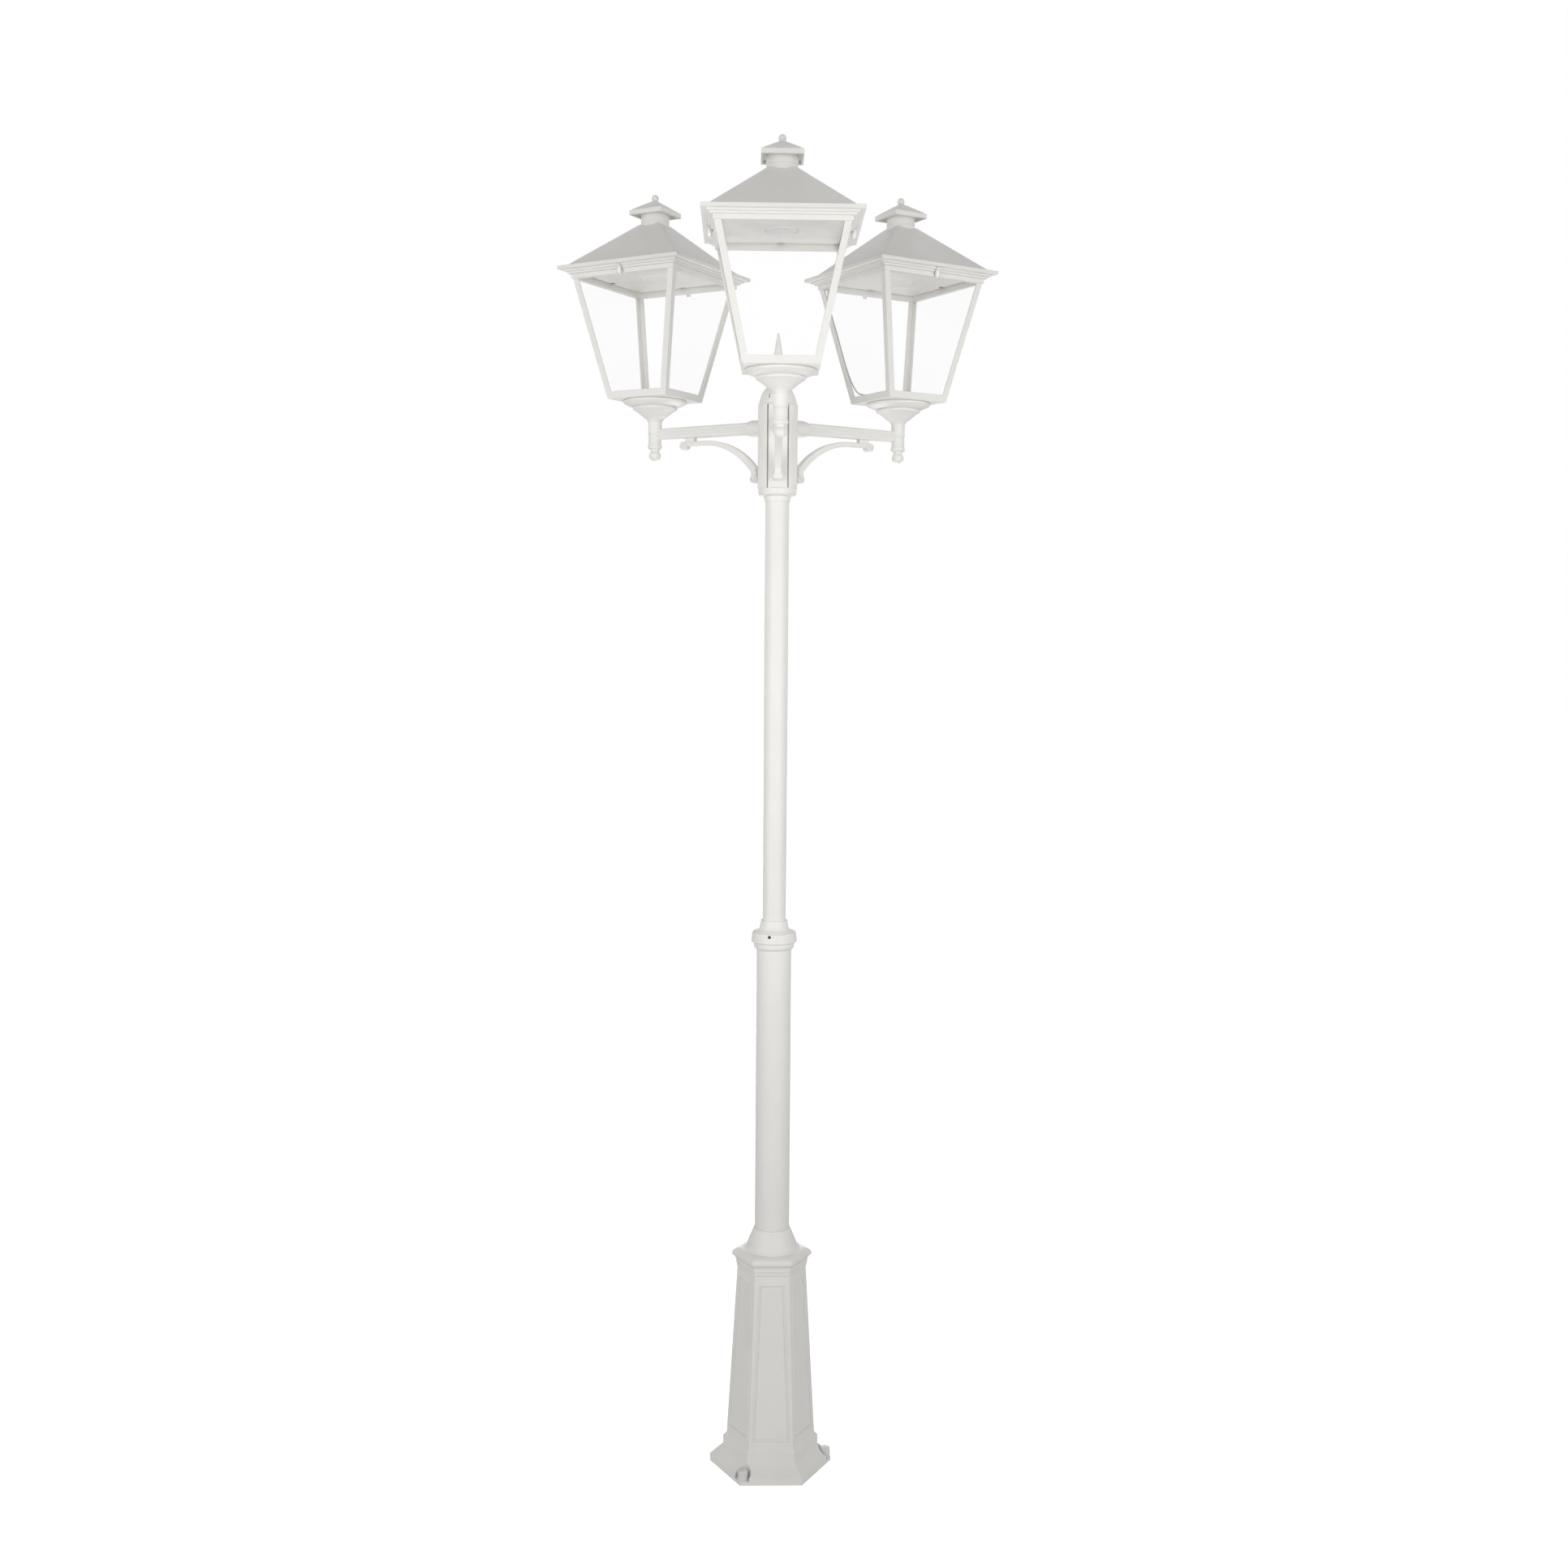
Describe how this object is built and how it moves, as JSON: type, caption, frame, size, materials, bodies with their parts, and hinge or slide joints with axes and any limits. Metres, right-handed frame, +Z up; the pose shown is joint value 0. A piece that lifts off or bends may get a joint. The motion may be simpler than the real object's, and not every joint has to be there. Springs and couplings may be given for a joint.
{
  "type": "triple head lamp post",
  "caption": "Tall garden lamp post: hexagonal pedestal, stepped round pole and scroll-braced arms carrying square tapered lanterns whose roofs lift off for service.",
  "frame": {"origin": "centre of the anchor circle on the pole's axis, at the ground", "axes": "+Z up along the pole; the first arm points to -Y and the others stand 120 degrees apart; a flat face of the pedestal looks to -Y"},
  "size_m": [1.1318, 0.9803, 3.3119],
  "materials": {
    "powder_coat": "satin fine-texture powder coat",
    "zinc_steel": "zinc plated",
    "dark_steel": "blackened",
    "cap_plastic": "moulded, satin",
    "clear_pane": "clear",
    "grey_cable": "matte sheath",
    "bezel_white": "gloss",
    "opal_lens": "opal",
    "sink_aluminium": "bare",
    "driver_case": "moulded",
    "ceiling_white": "satin white reflector",
    "screw_metal": "stainless, knurled"
  },
  "bodies": {
    "post": {"base_pedestal": "powder_coat", "lower_tube": "powder_coat", "collar": "powder_coat", "upper_tube": "powder_coat", "hub_body": "powder_coat", "hub_cap": "powder_coat", "hub_spike": "powder_coat", "socket_finials": "powder_coat", "anchor_nuts": "zinc_steel", "anchor_caps": "cap_plastic", "collar_screws": "dark_steel", "arm_front": "powder_coat", "brace_front": "powder_coat", "cup_front": "powder_coat", "frame_front": "powder_coat", "panes_front": "clear_pane", "cable_front": "grey_cable", "arm_right": "powder_coat", "brace_right": "powder_coat", "cup_right": "powder_coat", "frame_right": "powder_coat", "panes_right": "clear_pane", "cable_right": "grey_cable", "arm_left": "powder_coat", "brace_left": "powder_coat", "cup_left": "powder_coat", "frame_left": "powder_coat", "panes_left": "clear_pane", "cable_left": "grey_cable"},
    "lid_front": {"roof_front": "powder_coat", "vent_collar_front": "powder_coat", "vent_cap_front": "powder_coat", "ceiling_plate_front": "ceiling_white", "led_ring_front": "bezel_white", "led_lens_front": "opal_lens", "led_heat_sink_front": "sink_aluminium", "led_driver_front": "driver_case"},
    "screw_a_front": {"roof_screw_a_front": "screw_metal"},
    "screw_b_front": {"roof_screw_b_front": "screw_metal"},
    "lid_right": {"roof_right": "powder_coat", "vent_collar_right": "powder_coat", "vent_cap_right": "powder_coat", "ceiling_plate_right": "ceiling_white", "led_ring_right": "bezel_white", "led_lens_right": "opal_lens", "led_heat_sink_right": "sink_aluminium", "led_driver_right": "driver_case"},
    "screw_a_right": {"roof_screw_a_right": "screw_metal"},
    "screw_b_right": {"roof_screw_b_right": "screw_metal"},
    "lid_left": {"roof_left": "powder_coat", "vent_collar_left": "powder_coat", "vent_cap_left": "powder_coat", "ceiling_plate_left": "ceiling_white", "led_ring_left": "bezel_white", "led_lens_left": "opal_lens", "led_heat_sink_left": "sink_aluminium", "led_driver_left": "driver_case"},
    "screw_a_left": {"roof_screw_a_left": "screw_metal"},
    "screw_b_left": {"roof_screw_b_left": "screw_metal"}
  },
  "joints": [
    {"name": "lid_front_lift", "type": "slide", "parent": "post", "child": "lid_front", "axis": [0, 0, 1], "range_m": [0, 0.12]},
    {"name": "screw_a_front_turn", "type": "hinge", "parent": "post", "child": "screw_a_front", "pos_m": [0.164, -0.368, 3.083], "axis": [0, 0, 1], "continuous": true},
    {"name": "screw_b_front_turn", "type": "hinge", "parent": "post", "child": "screw_b_front", "pos_m": [-0.164, -0.368, 3.083], "axis": [0, 0, 1], "continuous": true},
    {"name": "lid_right_lift", "type": "slide", "parent": "post", "child": "lid_right", "axis": [0, 0, 1], "range_m": [0, 0.12]},
    {"name": "screw_a_right_turn", "type": "hinge", "parent": "post", "child": "screw_a_right", "pos_m": [0.2367, 0.32603, 3.083], "axis": [0, 0, 1], "continuous": true},
    {"name": "screw_b_right_turn", "type": "hinge", "parent": "post", "child": "screw_b_right", "pos_m": [0.4007, 0.04197, 3.083], "axis": [0, 0, 1], "continuous": true},
    {"name": "lid_left_lift", "type": "slide", "parent": "post", "child": "lid_left", "axis": [0, 0, 1], "range_m": [0, 0.12]},
    {"name": "screw_a_left_turn", "type": "hinge", "parent": "post", "child": "screw_a_left", "pos_m": [-0.4007, 0.04197, 3.083], "axis": [0, 0, 1], "continuous": true},
    {"name": "screw_b_left_turn", "type": "hinge", "parent": "post", "child": "screw_b_left", "pos_m": [-0.2367, 0.32603, 3.083], "axis": [0, 0, 1], "continuous": true}
  ]
}
